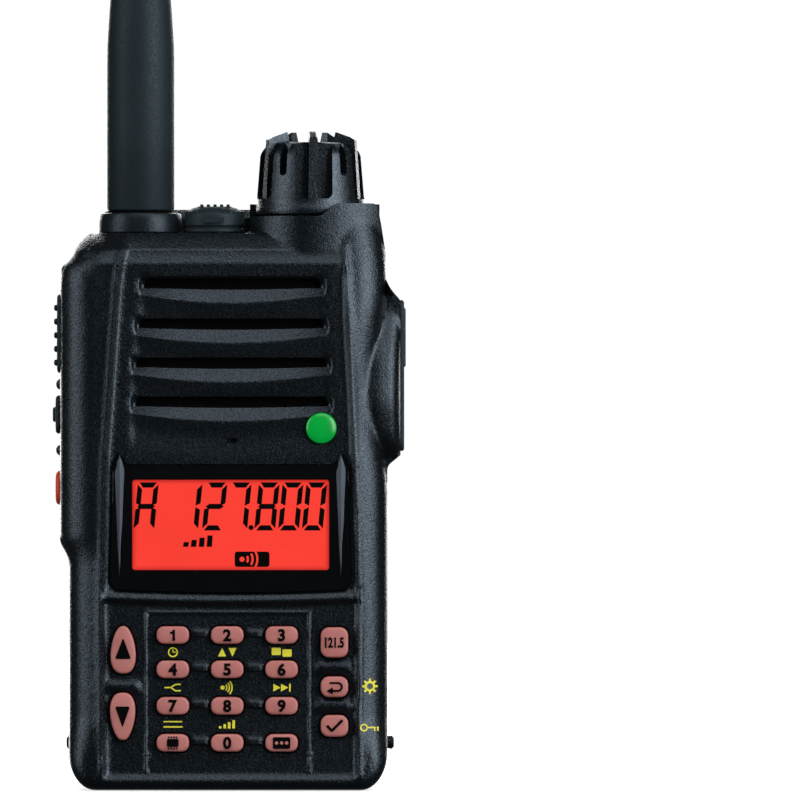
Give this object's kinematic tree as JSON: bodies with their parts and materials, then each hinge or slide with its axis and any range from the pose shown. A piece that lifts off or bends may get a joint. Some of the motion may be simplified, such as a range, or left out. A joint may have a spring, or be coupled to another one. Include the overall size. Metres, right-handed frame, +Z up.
{
  "type": "handheld aviation radio",
  "caption": "Handheld airband transceiver with a flexible antenna, skirted volume knob, lit display, keypad, side talk bar, slide-off battery and sprung belt clip.",
  "frame": {"origin": "foot of the front case, midway between its sides and 1 mm in front of the seam between the case halves, where the radio stands", "axes": "+Z up along the antenna, -Y out of the face with the display and keys, +X to the right of someone facing it"},
  "size_m": [0.0671, 0.0404, 0.261],
  "materials": {
    "case_plastic": "fine grain, satin",
    "die_cast": "satin black paint",
    "rubber": "matt",
    "gloss_black": "gloss",
    "key_rose": "translucent, satin, printed legends",
    "display_red": "lit from behind",
    "lamp_green": "lit from behind",
    "button_orange": "satin",
    "steel": "bright",
    "brass": "bright",
    "board_green": "solder mask",
    "cell_sleeve": "shrink sleeve",
    "paper_cone": "matt"
  },
  "bodies": {
    "housing": {"front_case": "case_plastic", "rear_chassis": "die_cast", "case_gasket": "rubber", "display_lens": "gloss_black", "lcd_panel": "display_red", "indicator_lens": "lamp_green", "speaker": "paper_cone", "microphone": "steel", "main_board": "board_green", "side_switch_board": "board_green", "keypad_mat": "rubber", "antenna_jack": "brass", "antenna_collar": "case_plastic", "volume_pot": "steel", "accessory_jack": "steel", "side_jack": "gloss_black", "clip_bracket": "die_cast", "clip_pin": "steel", "clip_spring": "steel", "battery_terminals": "brass", "case_screw_1": "steel", "case_screw_2": "steel", "case_screw_3": "steel", "case_screw_4": "steel"},
    "antenna": {"antenna_whip": "rubber", "antenna_plug": "brass"},
    "knob": {"volume_knob": "rubber"},
    "cap": {"accessory_cap": "rubber"},
    "talk_bar": {"ptt_button": "rubber"},
    "side_button": {"side_key": "rubber"},
    "monitor": {"monitor_button": "button_orange"},
    "cover": {"jack_cover": "rubber"},
    "battery": {"battery_case": "case_plastic", "battery_lid": "case_plastic", "cell_1": "cell_sleeve", "cell_2": "cell_sleeve", "cell_3": "cell_sleeve", "cell_4": "cell_sleeve", "cell_5": "cell_sleeve", "cell_6": "cell_sleeve"},
    "latch": {"battery_latch": "case_plastic"},
    "clip": {"belt_clip": "case_plastic"},
    "key_1_cap": {"key_1": "key_rose"},
    "key_2_cap": {"key_2": "key_rose"},
    "key_3_cap": {"key_3": "key_rose"},
    "key_4_cap": {"key_4": "key_rose"},
    "key_5_cap": {"key_5": "key_rose"},
    "key_6_cap": {"key_6": "key_rose"},
    "key_7_cap": {"key_7": "key_rose"},
    "key_8_cap": {"key_8": "key_rose"},
    "key_9_cap": {"key_9": "key_rose"},
    "key_0_cap": {"key_0": "key_rose"},
    "key_memory_cap": {"key_memory": "key_rose"},
    "key_function_cap": {"key_function": "key_rose"},
    "key_up_cap": {"key_up": "key_rose"},
    "key_down_cap": {"key_down": "key_rose"},
    "key_emergency_cap": {"key_emergency": "key_rose"},
    "key_return_cap": {"key_return": "key_rose"},
    "key_enter_cap": {"key_enter": "key_rose"}
  },
  "joints": [
    {"name": "antenna_unscrew", "type": "hinge", "parent": "housing", "child": "antenna", "pos_m": [-0.0169, 0.0005, 0.1099], "axis": [0, 0, 1], "continuous": true},
    {"name": "volume_turn", "type": "hinge", "parent": "housing", "child": "knob", "pos_m": [0.0155, -0.0015, 0.1091], "axis": [0, 0, -1], "range_deg": [0, 270]},
    {"name": "accessory_cap_unscrew", "type": "hinge", "parent": "housing", "child": "cap", "pos_m": [-0.0028, -0.0025, 0.1056], "axis": [0, 0, 1], "continuous": true},
    {"name": "push_to_talk", "type": "slide", "parent": "housing", "child": "talk_bar", "axis": [1, 0, 0], "range_m": [0, 0.001], "stiffness_N_per_m": 900, "springref_m": -0.001},
    {"name": "side_key_press", "type": "slide", "parent": "housing", "child": "side_button", "axis": [1, 0, 0], "range_m": [0, 0.0007], "stiffness_N_per_m": 900, "springref_m": -0.0008},
    {"name": "monitor_press", "type": "slide", "parent": "housing", "child": "monitor", "axis": [1, 0, 0], "range_m": [0, 0.0007], "stiffness_N_per_m": 900, "springref_m": -0.0008},
    {"name": "jack_cover_open", "type": "hinge", "parent": "housing", "child": "cover", "pos_m": [0.0333, -0.0046, 0.0642], "axis": [0, 1, 0], "range_deg": [0, 100]},
    {"name": "battery_slide", "type": "slide", "parent": "housing", "child": "battery", "axis": [0, 0, -1], "range_m": [0, 0.088]},
    {"name": "battery_latch_swing", "type": "hinge", "parent": "battery", "child": "latch", "pos_m": [0, 0.0126, 0.0084], "axis": [1, 0, 0], "range_deg": [0, 70]},
    {"name": "belt_clip_squeeze", "type": "hinge", "parent": "housing", "child": "clip", "pos_m": [0, 0.0198, 0.095], "axis": [1, 0, 0], "range_deg": [0, 20], "stiffness_Nm_per_rad": 0.35, "springref_deg": -20.05},
    {"name": "key_1_press", "type": "slide", "parent": "housing", "child": "key_1_cap", "axis": [0, 1, 0], "range_m": [0, 0.0007], "stiffness_N_per_m": 500, "springref_m": -0.001},
    {"name": "key_2_press", "type": "slide", "parent": "housing", "child": "key_2_cap", "axis": [0, 1, 0], "range_m": [0, 0.0007], "stiffness_N_per_m": 500, "springref_m": -0.001},
    {"name": "key_3_press", "type": "slide", "parent": "housing", "child": "key_3_cap", "axis": [0, 1, 0], "range_m": [0, 0.0007], "stiffness_N_per_m": 500, "springref_m": -0.001},
    {"name": "key_4_press", "type": "slide", "parent": "housing", "child": "key_4_cap", "axis": [0, 1, 0], "range_m": [0, 0.0007], "stiffness_N_per_m": 500, "springref_m": -0.001},
    {"name": "key_5_press", "type": "slide", "parent": "housing", "child": "key_5_cap", "axis": [0, 1, 0], "range_m": [0, 0.0007], "stiffness_N_per_m": 500, "springref_m": -0.001},
    {"name": "key_6_press", "type": "slide", "parent": "housing", "child": "key_6_cap", "axis": [0, 1, 0], "range_m": [0, 0.0007], "stiffness_N_per_m": 500, "springref_m": -0.001},
    {"name": "key_7_press", "type": "slide", "parent": "housing", "child": "key_7_cap", "axis": [0, 1, 0], "range_m": [0, 0.0007], "stiffness_N_per_m": 500, "springref_m": -0.001},
    {"name": "key_8_press", "type": "slide", "parent": "housing", "child": "key_8_cap", "axis": [0, 1, 0], "range_m": [0, 0.0007], "stiffness_N_per_m": 500, "springref_m": -0.001},
    {"name": "key_9_press", "type": "slide", "parent": "housing", "child": "key_9_cap", "axis": [0, 1, 0], "range_m": [0, 0.0007], "stiffness_N_per_m": 500, "springref_m": -0.001},
    {"name": "key_0_press", "type": "slide", "parent": "housing", "child": "key_0_cap", "axis": [0, 1, 0], "range_m": [0, 0.0007], "stiffness_N_per_m": 500, "springref_m": -0.001},
    {"name": "key_memory_press", "type": "slide", "parent": "housing", "child": "key_memory_cap", "axis": [0, 1, 0], "range_m": [0, 0.0007], "stiffness_N_per_m": 500, "springref_m": -0.001},
    {"name": "key_function_press", "type": "slide", "parent": "housing", "child": "key_function_cap", "axis": [0, 1, 0], "range_m": [0, 0.0007], "stiffness_N_per_m": 500, "springref_m": -0.001},
    {"name": "key_up_press", "type": "slide", "parent": "housing", "child": "key_up_cap", "axis": [0, 1, 0], "range_m": [0, 0.0007], "stiffness_N_per_m": 500, "springref_m": -0.001},
    {"name": "key_down_press", "type": "slide", "parent": "housing", "child": "key_down_cap", "axis": [0, 1, 0], "range_m": [0, 0.0007], "stiffness_N_per_m": 500, "springref_m": -0.001},
    {"name": "key_emergency_press", "type": "slide", "parent": "housing", "child": "key_emergency_cap", "axis": [0, 1, 0], "range_m": [0, 0.0007], "stiffness_N_per_m": 500, "springref_m": -0.001},
    {"name": "key_return_press", "type": "slide", "parent": "housing", "child": "key_return_cap", "axis": [0, 1, 0], "range_m": [0, 0.0007], "stiffness_N_per_m": 500, "springref_m": -0.001},
    {"name": "key_enter_press", "type": "slide", "parent": "housing", "child": "key_enter_cap", "axis": [0, 1, 0], "range_m": [0, 0.0007], "stiffness_N_per_m": 500, "springref_m": -0.001}
  ]
}
